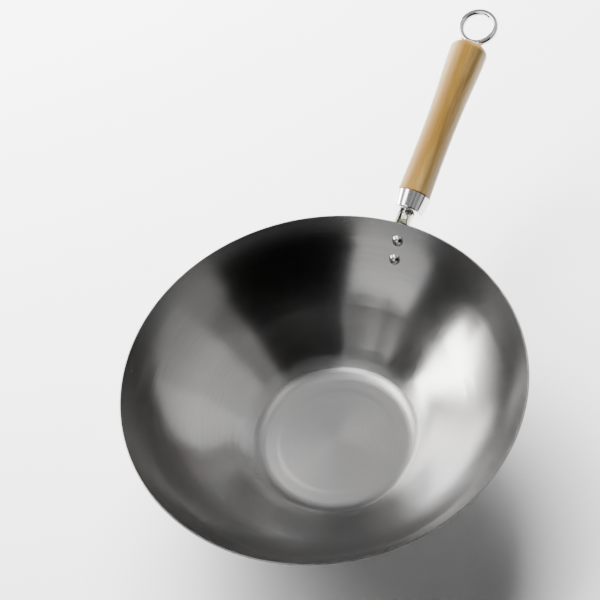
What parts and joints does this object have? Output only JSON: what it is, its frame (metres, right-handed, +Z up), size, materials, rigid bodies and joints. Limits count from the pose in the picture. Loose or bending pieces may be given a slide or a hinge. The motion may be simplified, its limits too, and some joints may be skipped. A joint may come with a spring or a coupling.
{
  "type": "wok",
  "caption": "Flat-bottomed carbon steel wok: a spun steel bowl with a riveted bracket, chrome ferrule, turned wooden grip and a hanging ring.",
  "frame": {"origin": "centre of the foot's underside, on the surface that the wok stands on", "axes": "+Z up through the bowl's axis, +X out along the handle, +Y across it"},
  "size_m": [0.5756, 0.3552, 0.1592],
  "materials": {
    "carbon_steel": "bare cold-rolled steel, polished in rings inside",
    "zinc_steel": "bright zinc plate",
    "rivet_steel": "bright steel",
    "chrome": "bright chrome plate",
    "wood": "clear varnish over light wood"
  },
  "bodies": {
    "wok": {"wok_shell": "carbon_steel", "handle_bracket": "zinc_steel", "rivet_upper": "rivet_steel", "rivet_lower": "rivet_steel", "rod_nut": "zinc_steel", "lock_washer": "zinc_steel", "seat_washer": "zinc_steel", "ferrule": "chrome", "handle_grip": "wood"},
    "ring_rod": {"tie_rod": "zinc_steel", "hanging_ring": "chrome"}
  },
  "joints": [
    {"name": "rod_turn", "type": "hinge", "parent": "wok", "child": "ring_rod", "pos_m": [0.37935, 0, 0.14893], "axis": [0.9659, 0, 0.2588], "continuous": true}
  ]
}
